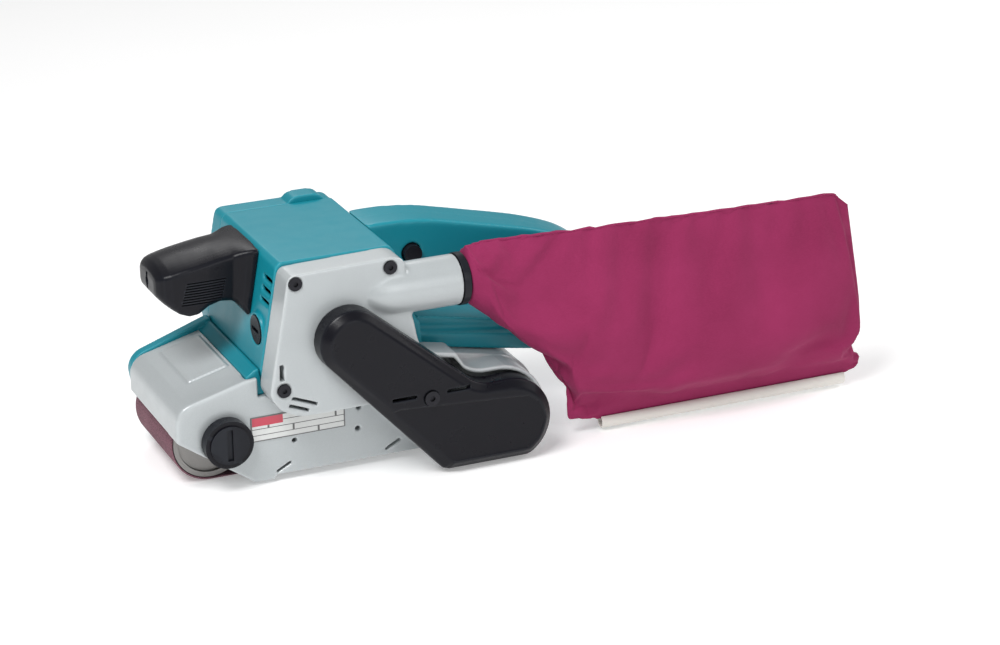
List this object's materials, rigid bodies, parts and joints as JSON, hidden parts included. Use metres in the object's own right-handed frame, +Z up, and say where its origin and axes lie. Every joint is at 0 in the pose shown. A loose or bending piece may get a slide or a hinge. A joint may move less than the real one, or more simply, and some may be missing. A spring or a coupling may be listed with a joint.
{
  "type": "belt sander",
  "caption": "Handheld belt sander with a transverse motor, front grip, closed rear handle and a dust bag on a side nozzle.",
  "frame": {"origin": "centre of the flat sanding face, where the belt meets the work", "axes": "+X to the rear along the belt, +Y to the operator's right, +Z up"},
  "size_m": [0.489, 0.1612, 0.152],
  "materials": {
    "teal_plastic": "moulded, semi-gloss",
    "silver_paint": "silver-grey enamel on cast aluminium",
    "black_plastic": "moulded, fine grain",
    "black_steel": "blackened screw steel",
    "steel": "machined",
    "cast_metal": "turned and cast aluminium",
    "motor_iron": "laminations and varnished copper windings",
    "brass": "drawn",
    "copper": "turned copper",
    "carbon": "pressed carbon",
    "rubber": "moulded rubber",
    "grit": "abrasive grit on cloth",
    "cork": "pressed cork",
    "plate_film": "printed film, blank",
    "bag_fabric": "plain-woven cotton, filled",
    "white_plastic": "extruded split tube"
  },
  "bodies": {
    "frame": {"main_frame": "silver_paint", "guard_plate": "teal_plastic", "motor_housing": "teal_plastic", "end_cover": "teal_plastic", "end_cover_screws": "steel", "fan_cover": "silver_paint", "fan_cover_screws": "black_steel", "drive_cover": "black_plastic", "drive_cover_screw": "black_steel", "rear_body": "teal_plastic", "handle_left": "teal_plastic", "handle_right": "teal_plastic", "handle_screws": "steel", "front_grip": "black_plastic", "grip_screw": "steel", "stator": "motor_iron", "brush_holders": "brass", "carbon_brushes": "carbon", "brush_caps": "black_plastic", "motor_bearings": "steel", "drive_belt": "rubber", "rear_bearings": "steel", "sanding_belt": "grit", "platen_plate": "steel", "platen_pad": "cork", "platen_screws": "steel", "tension_spring": "steel", "lever_pin": "steel", "switch_body": "black_plastic", "trigger_pin": "steel", "cord_gland": "black_plastic", "rating_plate": "plate_film"},
    "armature": {"armature_shaft": "steel", "armature_core": "motor_iron", "commutator": "copper", "cooling_fan": "black_plastic", "dust_fan": "cast_metal", "motor_pulley": "steel"},
    "rear_drive": {"rear_shaft": "steel", "rear_roller": "rubber", "driven_pulley": "steel", "pulley_nut": "steel"},
    "tension_slide": {"tension_rod": "steel", "yoke_pin": "steel"},
    "yoke": {"roller_yoke": "cast_metal", "front_axle": "steel"},
    "front_roll": {"front_roller": "cast_metal"},
    "lever": {"tension_lever": "steel"},
    "knob": {"tracking_knob": "black_plastic", "tracking_screw": "steel"},
    "trigger_body": {"trigger": "black_plastic"},
    "lock": {"lock_button": "black_plastic"},
    "cuff": {"bag_cuff": "black_plastic"},
    "bag": {"dust_bag": "bag_fabric"},
    "rod": {"closing_rod": "white_plastic"}
  },
  "joints": [
    {"name": "motor_spin", "type": "hinge", "parent": "frame", "child": "armature", "pos_m": [-0.013, 0, 0.1], "axis": [0, 1, 0], "continuous": true},
    {"name": "rear_roller_spin", "type": "hinge", "parent": "frame", "child": "rear_drive", "pos_m": [0.0924, 0, 0.026], "axis": [0, 1, 0], "continuous": true},
    {"name": "lever_swing", "type": "hinge", "parent": "frame", "child": "lever", "pos_m": [-0.022, 0.027, 0.026], "axis": [0, 0, 1], "range_deg": [0, 75]},
    {"name": "tension_travel", "type": "slide", "parent": "frame", "child": "tension_slide", "axis": [1, 0, 0], "range_m": [0, 0.006], "deforming": ["tension_spring"]},
    {"name": "tracking_turn", "type": "hinge", "parent": "frame", "child": "knob", "pos_m": [-0.0887, 0, 0.0345], "axis": [0, 1, 0], "range_deg": [-180, 180]},
    {"name": "yoke_tilt", "type": "hinge", "parent": "tension_slide", "child": "yoke", "pos_m": [-0.057, 0, 0.026], "axis": [0, 0, 1], "range_deg": [-0.4, 0.4]},
    {"name": "front_roller_spin", "type": "hinge", "parent": "yoke", "child": "front_roll", "pos_m": [-0.0924, 0, 0.026], "axis": [0, 1, 0], "continuous": true},
    {"name": "trigger_pull", "type": "hinge", "parent": "frame", "child": "trigger_body", "pos_m": [0.064, 0, 0.1175], "axis": [0, -1, 0], "range_deg": [0, 7], "stiffness_Nm_per_rad": 1.5, "springref_deg": -5.73},
    {"name": "lock_press", "type": "slide", "parent": "frame", "child": "lock", "axis": [0, 1, 0], "range_m": [0, 0.003], "stiffness_N_per_m": 400, "springref_m": -0.002},
    {"name": "bag_pull", "type": "slide", "parent": "frame", "child": "cuff", "axis": [1, 0, 0], "range_m": [0, 0.03]},
    {"name": "bag_swivel", "type": "hinge", "parent": "cuff", "child": "bag", "pos_m": [0.08, -0.07, 0.1225], "axis": [1, 0, 0], "range_deg": [-90, 0]},
    {"name": "rod_slide", "type": "slide", "parent": "bag", "child": "rod", "axis": [1, 0, 0], "range_m": [0, 0.19]}
  ],
  "couplings": [
    {"joint": "rear_roller_spin", "follows": "motor_spin", "ratio": 0.33333},
    {"joint": "front_roller_spin", "follows": "motor_spin", "ratio": 0.33333},
    {"joint": "tension_travel", "follows": "lever_swing", "m_per_rad": 0.004507},
    {"joint": "yoke_tilt", "follows": "tracking_turn", "ratio": 0.0022}
  ]
}
